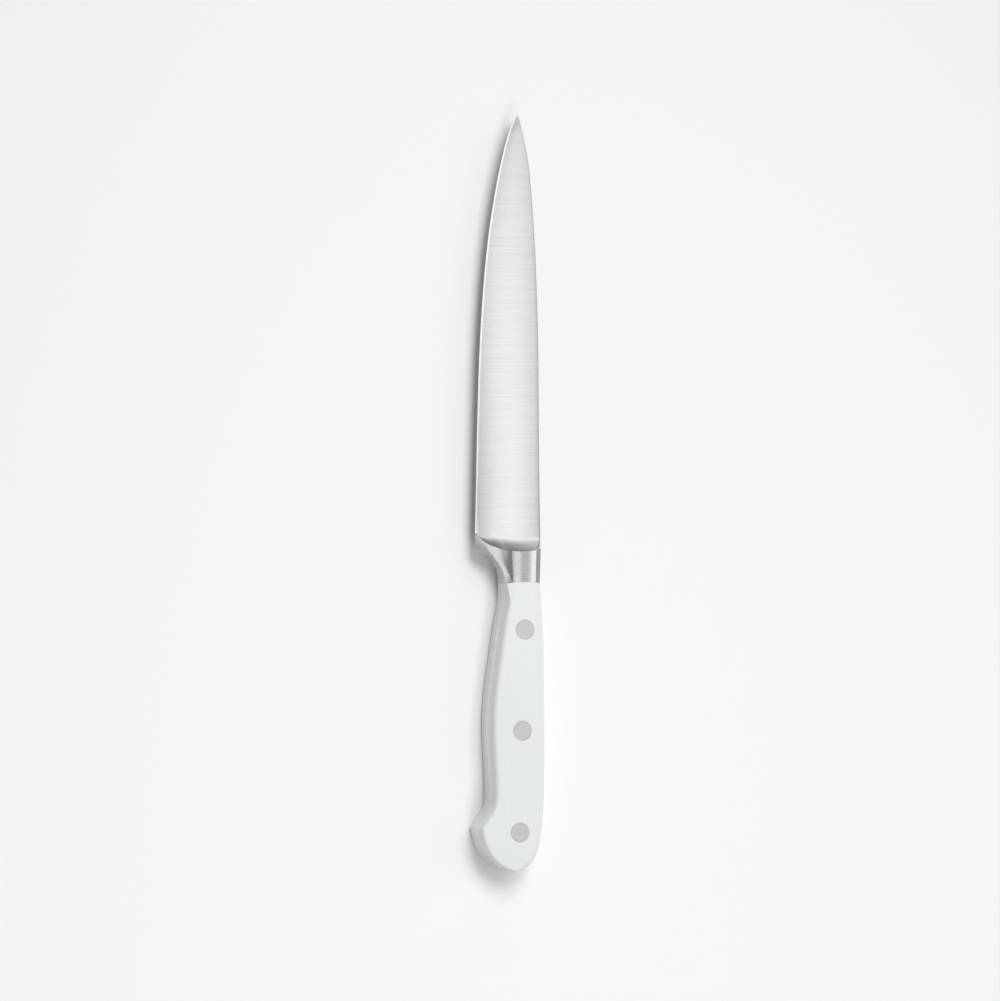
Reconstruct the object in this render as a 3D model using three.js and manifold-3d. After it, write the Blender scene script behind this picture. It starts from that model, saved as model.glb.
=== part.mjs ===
// Forged kitchen utility knife with a full bolster and a riveted two-scale handle, lying on its side.
// Frame: +Y runs from the butt to the tip, the cutting edge faces -X, the spine faces +X, +Z is up.
// The origin lies under the middle of the outline, on the surface that the knife rests on.
//
// Outlines are written as [across, station] pairs in millimetres. "Across" is measured from the
// line through the tip, positive towards the spine, and "station" is the distance from the tip.
// Heights are measured from the middle plane of the blade, about which the knife is symmetric.

import * as THREE from 'three';
import { mergeVertices } from 'three/addons/utils/BufferGeometryUtils.js';
import Module from 'manifold-3d';

const wasm = await Module();
wasm.setup();

// Overall size
const OVERALL_LENGTH = 280;
const HEEL_DEPTH = 17;
const SPINE_RISE = 8.66;
const HANDLE_THICKNESS = 14;
const HANDLE_HALF = HANDLE_THICKNESS / 2;

// Blade: a thin wedge with distal taper, ground to a bevelled edge
const EDGE_END = 155;
const HEEL_THICKNESS = 2.4;
const TIP_THICKNESS = 0.5;
const TAPER_POWER = 0.7;
const FACE_CONVEXITY = 0.85;
const BEVEL_WIDTH = 0.8;
const BEVEL_SHARE_AT_TIP = 0.2;
const BEVEL_HALF = 0.13;
const SPINE_CORNER = 0.25;
const SPINE_CORNER_SHARE = 0.25;
const EDGE_LINE = [
  [0, 0], [-3.05, 5.5], [-6.4, 17], [-9.45, 31.5], [-12.45, 52], [-14.9, 83],
  [-16.05, 115], [-16.6, 140], [-HEEL_DEPTH, EDGE_END],
];
const SPINE_LINE = [
  [0, 0], [1.55, 5.5], [4, 17], [5.5, 31.5], [6.85, 52], [7.9, 83],
  [8.15, 115], [8.35, 140], [SPINE_RISE, EDGE_END],
];

// Bolster: a crowned block behind an arched plunge line, with a beak that runs down to the heel
const PLUNGE_STATION = 161.7;
const PLUNGE_RADIUS = 32;
const FILLET_LENGTH = 3.8;
const HEEL_SWEEP_POWER = 0.25;
const CROWN_HALF = 5.1;
const CROWN_ACROSS = -0.9;
const CROWN_RADIUS = 27;
const SHOULDER_HALF = 1.2;
const SHOULDER_START = Math.PI / 6;
const SCOOP_POWER = 3;
const FLANK_AT_PLUNGE = -5;
const FLANK_AT_SEAM = -4.4;
const BELLY_HALF = 3.9;
const BELLY_SWELL = 0.25;
const BOLSTER_SPINE = 8.25;
const BEAK_RIDGE = [
  [-16.9, 155.3], [-16.9, 158.6], [-16.9, 161.5], [-16.1, 162.2], [-13.1, 163.3],
  [-10.75, 164.4], [-9.4, 165.6], [-8.2, 167.2], [-7.2, 169.2], [-6.65, 171.4],
];
const BEAK_EDGE = [
  [-14.25, 158.5], [-13.75, 159.8], [-13.1, 161.1], [-12.5, 161.9], [-11.6, 162.9],
  [-10.4, 164.2], [-9.15, 165.6], [-7.95, 167.2], [-6.95, 169.2], [-6.4, 171.4],
];
const BELLY_AT_SEAM = -6.15;

// Seam between bolster and handle, an arc that bows towards the tip
const SEAM_STATION = 172.9;
const SEAM_MIDDLE = 1;
const SEAM_RADIUS = 43;
const SEAM_GAP = 0.05;
const HANDLE_SETBACK = 0.05;

// Handle outline, shared by the tang and both scales
const HANDLE_BELLY = [
  [-5.75, 179.3], [-7.3, 187], [-9.65, 201.7], [-11.6, 216.5], [-12.1, 227],
  [-11.6, 238], [-11.1, 247], [-11.1, 252.5], [-11.5, 255.5], [-12.5, 257.7], [-14.4, 260.4],
];
const HOOK_TIP = [-16.8, 263.7];
const BUTT = [
  [-15.7, 268.2], [-14.1, 272.1], [-11.2, 275.8], [-7.2, 278.6], [-3, OVERALL_LENGTH],
  [1.1, 278.5], [4.3, 275.6], [6.2, 271.3], [7.2, 264.5],
];
const HANDLE_SPINE = [[7.95, 254], [8.2, 238], [8.2, 222], [8, 205], [7.95, 190]];
const TANG_THICKNESS = 2.4;
const TANG_HALF = TANG_THICKNESS / 2;
const TANG_ROOT = [[6.5, 169], [-4.5, 169]];

// Scale edges: rounding that widens towards the butt, and a ramp that rises from the bolster
const BELLY_ROUND = 1.5;
const SPINE_ROUND = 1.2;
const SEAM_ROUND = 0.3;
const BUTT_ROUND_WIDTH = 3;
const BUTT_ROUND_DEPTH = 2.7;
const FRONT_BLEND = [175, 187];
const BUTT_BLEND = [255, 270];
const RAMP_SLOPE = 0.35;
const RAMP_EASE_AT_SPINE = 0.6;
const RAMP_EASE_POWER = 4;
const RAMP_MARGIN_AT_BELLY = 15;
const RAMP_MARGIN_AT_SPINE = 5;
const RAMP_STATIONS = [168, 174, 179, 184, 190, 198, 210, 235, 285];

// Two-piece cutler's rivets: a sleeve with one head and a pin with the other
const RIVETS = [
  ['front', 0.17, 190.5],
  ['middle', -0.81, 227.8],
  ['rear', -1.77, 265.3],
];
const HEAD_RADIUS = 3.55;
const HEAD_DEPTH = 2.6;
const SLEEVE_RADIUS = 2.5;
const SLEEVE_END = 3.9;
const BORE_RADIUS = 1.6;
const BORE_END = 4.6;
const PIN_RADIUS = 1.55;
const PIN_END = 3.6;
const PIN_CHAMFER = 0.4;
const RIVET_CLEARANCE = 0.05;
const HOLE_OVERRUN = 1;

// Fineness of the facets
const BLADE_ROWS = 22;
const TIP_CROWDING = 1.35;
const FILLET_ROWS = 5;
const BOLSTER_ROWS = 20;
const FLANK_COLUMNS = 4;
const FACE_COLUMNS = 5;
const SPINE_COLUMNS = 5;
const BELLY_COLUMNS = 3;
const POINTS_PER_SPAN = 3;
const EDGE_STEPS = 4;
const SEAM_SPANS = 8;
const ROUND_SIDES = 28;
const WELD_DISTANCE = 1e-4;
const HALVINGS = 40;

const STEEL = { color: 0xc9cbcc, roughness: 0.32, metalness: 1 };
const POLISHED_HEAD = { color: 0xc4c6c5, roughness: 0.4, metalness: 1 };
const WHITE_HANDLE = { color: 0xe8ecec, roughness: 0.35, metalness: 0 };

const { lerp, smoothstep } = THREE.MathUtils;

// Smooth curve through [across, station] pairs
function curveThrough(pairs) {
  const points = pairs.map(([across, station]) => new THREE.Vector3(across, station, 0));
  return new THREE.CatmullRomCurve3(points, false, 'centripetal');
}

// Across position of a curve at a station, found by halving the interval of the parameter
function acrossAt(curve, station) {
  let low = 0;
  let high = 1;
  for (let step = 0; step < HALVINGS; step += 1) {
    const middle = (low + high) / 2;
    if (curve.getPoint(middle).y < station) low = middle;
    else high = middle;
  }
  return curve.getPoint(low).x;
}

// Depth of a circular arc below its top, at a distance from its middle
function arcDrop(radius, distance) {
  return radius - Math.sqrt(radius * radius - distance * distance);
}

function plungeStation(across) {
  return PLUNGE_STATION - arcDrop(PLUNGE_RADIUS, across);
}

function seamStation(across) {
  return SEAM_STATION + arcDrop(SEAM_RADIUS, across - SEAM_MIDDLE);
}

// Height of the bolster's crown: a shallow arc on the belly side, a quarter ellipse to the spine
function crownHeight(across, spine) {
  const reach = across - CROWN_ACROSS;
  if (reach < 0) return CROWN_HALF - arcDrop(CROWN_RADIUS, reach);
  const share = Math.min(reach / (spine - CROWN_ACROSS), 1);
  return SHOULDER_HALF + (CROWN_HALF - SHOULDER_HALF) * Math.sqrt(1 - share * share);
}

// Height of the scooped flank between the belly edge and the crown. The part runs across the
// flank from 0 at the belly edge to 1 at the crown, and the scoop fades out towards the seam.
function flankHeight(across, part, share) {
  const plain = crownHeight(across, BOLSTER_SPINE);
  const top = crownHeight(lerp(FLANK_AT_PLUNGE, FLANK_AT_SEAM, share), BOLSTER_SPINE);
  return lerp(lerp(BELLY_HALF, top, part ** SCOOP_POWER), plain, share * share);
}

const edgeCurve = curveThrough(EDGE_LINE);
const spineCurve = curveThrough(SPINE_LINE);
const bellyCorner = [BELLY_AT_SEAM, seamStation(BELLY_AT_SEAM)];
const ridgeCurve = curveThrough([...BEAK_RIDGE, [BELLY_AT_SEAM - BELLY_SWELL, bellyCorner[1]]]);
const beakCurve = curveThrough([...BEAK_EDGE, bellyCorner]);

// Upper half of one blade section, from the edge to the middle of the spine.
// The share runs from 0 at the tip to 1 where the fillet of the bolster begins.
function bladeSection(share) {
  const endOfFace = (across) => Math.max(EDGE_END, plungeStation(across) - FILLET_LENGTH);
  const edgeStation = EDGE_END * share;
  const edge = acrossAt(edgeCurve, edgeStation);
  const spineStation = endOfFace(SPINE_RISE) * share;
  const spine = acrossAt(spineCurve, Math.min(spineStation, EDGE_END));
  const thickness = lerp(TIP_THICKNESS, HEEL_THICKNESS, share ** TAPER_POWER);
  const bevel = Math.min(BEVEL_WIDTH, BEVEL_SHARE_AT_TIP * (spine - edge));
  const bevelHalf = Math.min(BEVEL_HALF, BEVEL_SHARE_AT_TIP * thickness);
  const corner = Math.min(SPINE_CORNER, SPINE_CORNER_SHARE * thickness);
  const faceStart = edge + bevel;
  const faceEnd = spine - corner;
  const section = [];
  for (let column = 0; column < BELLY_COLUMNS; column += 1) {
    const part = column / BELLY_COLUMNS;
    section.push([edge + bevel * part, edgeStation, bevelHalf * part]);
  }
  const faceColumns = FLANK_COLUMNS + FACE_COLUMNS;
  for (let column = 0; column < faceColumns; column += 1) {
    const part = column / faceColumns;
    const across = lerp(faceStart, faceEnd, part);
    const rise = part + FACE_CONVEXITY * part * (1 - part);
    const faceStation = endOfFace(lerp(-HEEL_DEPTH, SPINE_RISE, part)) * share;
    const station = lerp(edgeStation, faceStation, part ** HEEL_SWEEP_POWER);
    section.push([across, station, lerp(bevelHalf, thickness / 2, rise)]);
  }
  for (let column = 0; column < SPINE_COLUMNS; column += 1) {
    const angle = (column / (SPINE_COLUMNS - 1)) * (Math.PI / 2);
    const across = faceEnd + corner * Math.sin(angle);
    section.push([across, spineStation, thickness / 2 - corner * (1 - Math.cos(angle))]);
  }
  section.push([spine, spineStation, 0]);
  return section;
}

// Upper half of one bolster section; the share runs from 0 at the plunge line to 1 at the seam
function bolsterSection(share) {
  const ridge = ridgeCurve.getPoint(share);
  const beak = beakCurve.getPoint(share);
  const spine = lerp(acrossAt(spineCurve, EDGE_END), BOLSTER_SPINE, share);
  const stationAt = (across) => lerp(plungeStation(across), seamStation(across), share);
  const beakShift = beak.y - stationAt(beak.x);
  const flank = lerp(FLANK_AT_PLUNGE, FLANK_AT_SEAM, share);
  const shoulder = lerp(CROWN_ACROSS, spine, Math.sin(SHOULDER_START));
  const bellyHalf = flankHeight(beak.x, 0, share);
  const section = [];
  for (let column = 0; column < BELLY_COLUMNS; column += 1) {
    const part = column / BELLY_COLUMNS;
    section.push([lerp(ridge.x, beak.x, part), lerp(ridge.y, beak.y, part), bellyHalf * part]);
  }
  for (let column = 0; column < FLANK_COLUMNS; column += 1) {
    const part = column / FLANK_COLUMNS;
    const across = lerp(beak.x, flank, part);
    const station = stationAt(across) + beakShift * (1 - part);
    section.push([across, station, flankHeight(across, part, share)]);
  }
  for (let column = 0; column < FACE_COLUMNS; column += 1) {
    const across = lerp(flank, shoulder, column / FACE_COLUMNS);
    section.push([across, stationAt(across), crownHeight(across, spine)]);
  }
  for (let column = 0; column < SPINE_COLUMNS; column += 1) {
    const angle = lerp(SHOULDER_START, Math.PI / 2, column / (SPINE_COLUMNS - 1));
    const across = lerp(CROWN_ACROSS, spine, Math.sin(angle));
    section.push([across, stationAt(across), crownHeight(across, spine)]);
  }
  section.push([spine, stationAt(spine), 0]);
  return section;
}

// Section of the concave fillet that sweeps from the blade face up to the plunge line
function filletSection(face, plunge, share) {
  const angle = share * (Math.PI / 2);
  return face.map(([across, station, height], column) => {
    const [plungeAcross, plungeAt, plungeHeight] = plunge[column];
    return [
      lerp(across, plungeAcross, 1 - Math.cos(angle)),
      lerp(station, plungeAt, Math.sin(angle)),
      lerp(height, plungeHeight, 1 - Math.cos(angle)),
    ];
  });
}

// Closed ring of points from the upper half of a section and its mirror image
function ringFrom(section) {
  const upper = section.map(([across, station, height]) => [across, -station, height]);
  const lower = upper.map(([x, y, z]) => [x, y, -z]);
  return [...lower, ...upper.slice(1, -1).reverse()];
}

function geometryFrom(points, triangles) {
  const geometry = new THREE.BufferGeometry();
  geometry.setAttribute('position', new THREE.Float32BufferAttribute(points.flat(), 3));
  geometry.setIndex(triangles.flat());
  return geometry;
}

// Triangles of the bands between successive rings of equal length
function bandTriangles(ringCount, ringLength) {
  const triangles = [];
  for (let ring = 0; ring + 1 < ringCount; ring += 1) {
    for (let index = 0; index < ringLength; index += 1) {
      const next = (index + 1) % ringLength;
      const a = ring * ringLength + index;
      const b = ring * ringLength + next;
      triangles.push([a, b, a + ringLength], [b, b + ringLength, a + ringLength]);
    }
  }
  return triangles;
}

// Blade and bolster as one skin: a fan at the tip, bands along the sections, a wall at the seam
function bladeAndBolster() {
  const sections = [];
  for (let row = 1; row <= BLADE_ROWS; row += 1) {
    sections.push(bladeSection((row / BLADE_ROWS) ** TIP_CROWDING));
  }
  const face = sections.at(-1);
  const plunge = bolsterSection(0);
  for (let row = 1; row < FILLET_ROWS; row += 1) {
    sections.push(filletSection(face, plunge, row / FILLET_ROWS));
  }
  for (let row = 0; row <= BOLSTER_ROWS; row += 1) {
    sections.push(bolsterSection(row / BOLSTER_ROWS));
  }
  const rings = sections.map(ringFrom);
  const length = rings[0].length;
  const points = rings.flat();
  const triangles = bandTriangles(rings.length, length);
  const tip = points.length;
  points.push([0, 0, 0]);
  for (let index = 0; index < length; index += 1) {
    triangles.push([tip, (index + 1) % length, index]);
  }
  const seam = (rings.length - 1) * length;
  const half = length / 2;
  for (let column = 0; column < half; column += 1) {
    const [low, nextLow] = [seam + column, seam + column + 1];
    const [top, nextTop] = [seam + ((length - column) % length), seam + length - column - 1];
    if (column > 0) triangles.push([low, nextLow, top]);
    if (column + 1 < half) triangles.push([top, nextLow, nextTop]);
  }
  return geometryFrom(points, triangles);
}

// Outline of the handle behind the seam, from the belly corner round the butt to the spine corner
function handleOutline() {
  const belly = BELLY_AT_SEAM + HANDLE_SETBACK;
  const spine = BOLSTER_SPINE - HANDLE_SETBACK;
  const bellyStart = [belly, seamStation(belly) + SEAM_GAP];
  const spineEnd = [spine, seamStation(spine) + SEAM_GAP];
  const bellyPairs = [bellyStart, ...HANDLE_BELLY, HOOK_TIP];
  const backPairs = [HOOK_TIP, ...BUTT, ...HANDLE_SPINE, spineEnd];
  const bellyPoints = curveThrough(bellyPairs).getPoints((bellyPairs.length - 1) * POINTS_PER_SPAN);
  const backPoints = curveThrough(backPairs).getPoints((backPairs.length - 1) * POINTS_PER_SPAN);
  return [...bellyPoints, ...backPoints.slice(1)].map((point) => new THREE.Vector2(point.x, -point.y));
}

// Points between the two seam corners, along the arc of the bolster
function seamPoints(from, to) {
  const points = [];
  for (let span = 1; span < SEAM_SPANS; span += 1) {
    const across = lerp(from.x, to.x, span / SEAM_SPANS);
    points.push(new THREE.Vector2(across, -seamStation(across) - SEAM_GAP));
  }
  return points;
}

// Flat full tang with a hole for each rivet, rooted inside the bolster
function tang() {
  const outline = handleOutline();
  const root = TANG_ROOT.map(([across, station]) => new THREE.Vector2(across, -station));
  const shape = new THREE.Shape([...outline, ...root]);
  for (const [, across, station] of RIVETS) {
    const hole = new THREE.Path();
    hole.absarc(across, -station, SLEEVE_RADIUS + RIVET_CLEARANCE, 0, 2 * Math.PI);
    shape.holes.push(hole);
  }
  const settings = { depth: TANG_THICKNESS, bevelEnabled: false, curveSegments: ROUND_SIDES / 2 };
  return new THREE.ExtrudeGeometry(shape, settings).translate(0, 0, -TANG_HALF);
}

// Width and depth of the rounding along the scale's outline
function edgeRounding(point, onSeam) {
  if (onSeam) return [0, BELLY_ROUND];
  const station = -point.y;
  const front = smoothstep(station, ...FRONT_BLEND);
  const butt = smoothstep(station, ...BUTT_BLEND);
  const side = point.x < CROWN_ACROSS ? lerp(SEAM_ROUND, BELLY_ROUND, front) : SPINE_ROUND;
  return [lerp(side, BUTT_ROUND_WIDTH, butt), lerp(side, BUTT_ROUND_DEPTH, butt)];
}

// Direction in which a point of a closed outline moves inwards, mitred at its corner
function inwardDirection(outline, index) {
  const count = outline.length;
  const point = outline[index];
  const into = point.clone().sub(outline[(index + count - 1) % count]).normalize();
  const out = outline[(index + 1) % count].clone().sub(point).normalize();
  const normal = new THREE.Vector2(-into.y - out.y, into.x + out.x).normalize();
  const spread = normal.x * -into.y + normal.y * into.x;
  return normal.divideScalar(spread);
}

// Slab of the scale: a wall from the tang, rounded over to a flat face
function scaleSlab() {
  const sides = handleOutline();
  const outline = [...sides, ...seamPoints(sides.at(-1), sides[0])];
  const corners = [0, sides.length - 1];
  const isSeam = (index) => index >= sides.length || corners.includes(index);
  const inward = outline.map((_, index) => inwardDirection(outline, index));
  const rounding = outline.map((point, index) => edgeRounding(point, isSeam(index)));
  const rings = [outline.map(({ x, y }) => [x, y, TANG_HALF])];
  for (let step = 0; step <= EDGE_STEPS; step += 1) {
    const angle = (step / EDGE_STEPS) * (Math.PI / 2);
    rings.push(outline.map((point, index) => {
      const [width, depth] = rounding[index];
      const inset = inward[index].clone().multiplyScalar(width * (1 - Math.cos(angle)));
      return [point.x + inset.x, point.y + inset.y, HANDLE_HALF - depth * (1 - Math.sin(angle))];
    }));
  }
  const count = outline.length;
  const triangles = bandTriangles(rings.length, count);
  const contact = THREE.ShapeUtils.triangulateShape(outline, []);
  const faceOutline = rings.at(-1).map(([x, y]) => new THREE.Vector2(x, y));
  const face = THREE.ShapeUtils.triangulateShape(faceOutline, []);
  const faceStart = (rings.length - 1) * count;
  triangles.push(...contact.map(([a, b, c]) => [c, b, a]));
  triangles.push(...face.map((corner) => corner.map((index) => index + faceStart)));
  return geometryFrom(rings.flat(), triangles);
}

// Space under the ramp: the bolster's crowned section, carried back along a rising line.
// The line rises less towards the spine, so that the rounded spine fades out along the handle.
function rampSpace() {
  const left = BELLY_AT_SEAM - RAMP_MARGIN_AT_BELLY;
  const right = BOLSTER_SPINE + RAMP_MARGIN_AT_SPINE;
  const crest = [right];
  const steps = 2 * SPINE_COLUMNS;
  for (let column = 0; column < steps; column += 1) {
    crest.push(lerp(CROWN_ACROSS, BOLSTER_SPINE, Math.cos((column / steps) * (Math.PI / 2))));
  }
  for (let column = 0; column <= FACE_COLUMNS; column += 1) {
    crest.push(lerp(CROWN_ACROSS, BELLY_AT_SEAM, column / FACE_COLUMNS));
  }
  crest.push(left);
  const heightAt = (across, station) => {
    const inside = Math.min(across, BOLSTER_SPINE);
    const reach = Math.max(0, (inside - CROWN_ACROSS) / (BOLSTER_SPINE - CROWN_ACROSS));
    const slope = RAMP_SLOPE * (1 - RAMP_EASE_AT_SPINE * reach ** RAMP_EASE_POWER);
    return crownHeight(inside, BOLSTER_SPINE) + slope * (station - seamStation(inside));
  };
  const rings = RAMP_STATIONS.map((station) => [
    [left, -station, -OVERALL_LENGTH],
    [right, -station, -OVERALL_LENGTH],
    ...crest.map((across) => [across, -station, heightAt(across, station)]),
  ]);
  const count = rings[0].length;
  const triangles = bandTriangles(rings.length, count);
  const capOf = (ring) => {
    const contour = ring.map(([x, , z]) => new THREE.Vector2(x, z));
    return THREE.ShapeUtils.triangulateShape(contour, []);
  };
  const lastStart = (rings.length - 1) * count;
  triangles.push(...capOf(rings[0]).map(([a, b, c]) => [c, b, a]));
  triangles.push(...capOf(rings.at(-1)).map((corner) => corner.map((index) => index + lastStart)));
  return geometryFrom(rings.flat(), triangles);
}

// Solid of revolution about the line of a rivet
function turned(profile, across, station) {
  const points = profile.map(([radius, height]) => new THREE.Vector2(radius, height));
  const geometry = new THREE.LatheGeometry(points, ROUND_SIDES);
  return geometry.rotateX(Math.PI / 2).translate(across, -station, 0);
}

// Counterbored hole in the upper scale, wider than the rivet by the clearance
function rivetHole(across, station) {
  const shank = SLEEVE_RADIUS + RIVET_CLEARANCE;
  const head = HEAD_RADIUS + RIVET_CLEARANCE;
  const seat = HANDLE_HALF - HEAD_DEPTH;
  const top = HANDLE_HALF + HOLE_OVERRUN;
  const profile = [[0, 0], [shank, 0], [shank, seat], [head, seat], [head, top], [0, top]];
  return turned(profile, across, station);
}

// Tubular half of a rivet, with its head in the upper scale
function rivetSleeve(across, station) {
  const seat = HANDLE_HALF - HEAD_DEPTH;
  const profile = [
    [0, BORE_END], [BORE_RADIUS, BORE_END], [BORE_RADIUS, -SLEEVE_END], [SLEEVE_RADIUS, -SLEEVE_END],
    [SLEEVE_RADIUS, seat], [HEAD_RADIUS, seat], [HEAD_RADIUS, HANDLE_HALF], [0, HANDLE_HALF],
  ];
  return turned(profile, across, station);
}

// Solid half of a rivet, with its head in the lower scale and its shank inside the sleeve
function rivetPin(across, station) {
  const seat = HANDLE_HALF - HEAD_DEPTH;
  const profile = [
    [0, -HANDLE_HALF], [HEAD_RADIUS, -HANDLE_HALF], [HEAD_RADIUS, -seat], [PIN_RADIUS, -seat],
    [PIN_RADIUS, PIN_END - PIN_CHAMFER], [PIN_RADIUS - PIN_CHAMFER, PIN_END], [0, PIN_END],
  ];
  return turned(profile, across, station);
}

// Closed solid from a geometry: shared corners are merged and collapsed triangles left out
function solidFrom(geometry) {
  const bare = geometry.clone();
  bare.deleteAttribute('normal');
  bare.deleteAttribute('uv');
  const merged = mergeVertices(bare, WELD_DISTANCE);
  const triangles = [];
  for (let start = 0; start < merged.index.count; start += 3) {
    const [a, b, c] = merged.index.array.slice(start, start + 3);
    if (a !== b && b !== c && c !== a) triangles.push(a, b, c);
  }
  return new wasm.Manifold(new wasm.Mesh({
    numProp: 3,
    vertProperties: merged.attributes.position.array,
    triVerts: new Uint32Array(triangles),
  }));
}

function geometryOf(solid) {
  const { vertProperties, triVerts } = solid.getMesh();
  const geometry = new THREE.BufferGeometry();
  geometry.setAttribute('position', new THREE.BufferAttribute(vertProperties, 3));
  geometry.setIndex(new THREE.BufferAttribute(triVerts, 1));
  geometry.computeVertexNormals();
  return geometry;
}

// Mirror image in the middle plane, with its faces still pointing out
function mirrored(geometry) {
  const copy = geometry.clone().scale(1, 1, -1);
  const order = copy.index.array;
  for (let start = 0; start < order.length; start += 3) {
    [order[start], order[start + 1]] = [order[start + 1], order[start]];
  }
  copy.computeVertexNormals();
  return copy;
}

function part(name, geometry, look) {
  const mesh = new THREE.Mesh(geometry, new THREE.MeshStandardMaterial(look));
  mesh.name = name;
  return mesh;
}

const knife = new THREE.Group();
knife.position.set((HEEL_DEPTH - SPINE_RISE) / 2, OVERALL_LENGTH / 2, HANDLE_HALF);

const forging = solidFrom(bladeAndBolster()).add(solidFrom(tang()));
knife.add(part('forged_blade', geometryOf(forging), STEEL));

let scale = solidFrom(scaleSlab()).intersect(solidFrom(rampSpace()));
for (const [, across, station] of RIVETS) {
  scale = scale.subtract(solidFrom(rivetHole(across, station)));
}
const scaleGeometry = geometryOf(scale);
knife.add(part('left_scale', scaleGeometry, WHITE_HANDLE));
knife.add(part('right_scale', mirrored(scaleGeometry), WHITE_HANDLE));

for (const [place, across, station] of RIVETS) {
  const sleeve = geometryOf(solidFrom(rivetSleeve(across, station)));
  const pin = geometryOf(solidFrom(rivetPin(across, station)));
  knife.add(part(`${place}_rivet_sleeve`, sleeve, POLISHED_HEAD));
  knife.add(part(`${place}_rivet_pin`, pin, POLISHED_HEAD));
}

export default knife;
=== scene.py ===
"""A forged kitchen utility knife with white riveted scales, lying on a pale studio floor."""

import math

import bmesh
import bpy
import numpy as np
from mathutils import Matrix, Vector, geometry, kdtree


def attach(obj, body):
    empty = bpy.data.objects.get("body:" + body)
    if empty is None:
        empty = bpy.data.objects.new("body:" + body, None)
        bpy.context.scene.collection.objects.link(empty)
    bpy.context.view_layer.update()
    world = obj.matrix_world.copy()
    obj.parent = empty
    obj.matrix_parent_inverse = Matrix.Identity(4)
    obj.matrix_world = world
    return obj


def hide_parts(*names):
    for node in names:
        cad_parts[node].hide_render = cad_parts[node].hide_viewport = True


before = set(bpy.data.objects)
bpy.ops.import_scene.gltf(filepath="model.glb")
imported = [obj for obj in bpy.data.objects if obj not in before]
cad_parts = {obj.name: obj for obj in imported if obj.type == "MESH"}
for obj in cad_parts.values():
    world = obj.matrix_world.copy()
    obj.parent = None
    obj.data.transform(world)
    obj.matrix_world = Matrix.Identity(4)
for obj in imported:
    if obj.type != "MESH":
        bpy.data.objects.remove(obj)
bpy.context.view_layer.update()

# Outlines are (across, station) pairs in millimetres: across from the line through the tip, positive
# towards the spine, and station from the tip. Heights are from the middle plane of the blade.
MM = 0.001
OVERALL_LENGTH = 280
HEEL_DEPTH = 17
SPINE_RISE = 8.66
HANDLE_HALF = 7
TANG_HALF = 1.2
ORIGIN = np.array([(HEEL_DEPTH - SPINE_RISE) / 2, OVERALL_LENGTH / 2, HANDLE_HALF])

# Blade. The values named share, and the wedge, hold a size near the tip to a share of the blade's width
# there, or of its thickness for the corner. The gain widens the bevel towards the heel.
EDGE_END = 155
HEEL_THICKNESS = 2.4
TIP_THICKNESS = 0.3
TIP_WEDGE = 0.11
TAPER_POWER = 0.7
FACE_CONVEXITY = 0.85
SPINE_EASE_WIDTH = 1.8
SPINE_EASE_SHARE = 0.2
SPINE_EASE_SLOPE = 0.03
SPINE_EASE_POWER = 3
BEVEL_WIDTH = 0.6
BEVEL_SHARE_AT_TIP = 0.2
BEVEL_HALF = 0.0975
BEVEL_GAIN_AT_HEEL = 0.75
BEVEL_GAIN_START = 0.94
BEVEL_GAIN_POWER = 2
SPINE_CORNER = 0.25
SPINE_CORNER_SHARE = 0.25
EDGE_LINE = [
    (0, 0), (-3.05, 5.5), (-6.4, 17), (-9.45, 31.5), (-12.45, 52), (-14.9, 83),
    (-16.05, 115), (-16.6, 140), (-HEEL_DEPTH, EDGE_END),
]
SPINE_LINE = [
    (0, 0), (1.55, 5.5), (4, 17), (5.5, 31.5), (6.85, 52), (7.9, 83),
    (8.15, 115), (8.35, 140), (SPINE_RISE, EDGE_END),
]

# Bolster. The upright wall in the throat grows between two shares of the belly's height, over two
# shares of the way from the plunge line to the seam.
PLUNGE_STATION = 161.7
PLUNGE_RADIUS = 32
FILLET_LENGTH = 4.5
HEEL_SWEEP_POWER = 0.25
CROWN_HALF = 5.1
CROWN_ACROSS = -0.9
CROWN_RADIUS = 27
SHOULDER_HALF = 1.2
SHOULDER_START = math.radians(30)
SHOULDER_END = math.radians(45)
SCOOP_POWER = 4
SCOOP_SHARE = 0.92
SCOOP_LENGTH_POWER = 7
FLANK_AT_PLUNGE = -4.2
FLANK_AT_SEAM = -3.6
BELLY_HALF = 3.9
BELLY_SWELL = 0.25
THROAT_WALL = (0.05, 0.9)
THROAT_RISE = (0.2, 0.48)
BOLSTER_SPINE = 8.25
BELLY_AT_SEAM = -6.15
BEAK_RIDGE = [
    (-16.9, 155.3), (-16.9, 158.6), (-16.9, 161.4), (-15.4, 162.2), (-12.7, 163.2),
    (-10.55, 164.25), (-9.3, 165.6), (-8.15, 167.2), (-7.15, 169.2), (-6.6, 171.4),
]
BEAK_EDGE = [
    (-14.25, 158.5), (-13.75, 159.8), (-13.1, 161.1), (-12.5, 161.9), (-11.6, 162.9),
    (-10.4, 164.2), (-9.15, 165.6), (-7.95, 167.2), (-6.95, 169.2), (-6.4, 171.4),
]

# Seam between bolster and handle
SEAM_STATION = 172.9
SEAM_MIDDLE = 1
SEAM_RADIUS = 43
SEAM_GAP = 0.05
HANDLE_SETBACK = 0.05

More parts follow.
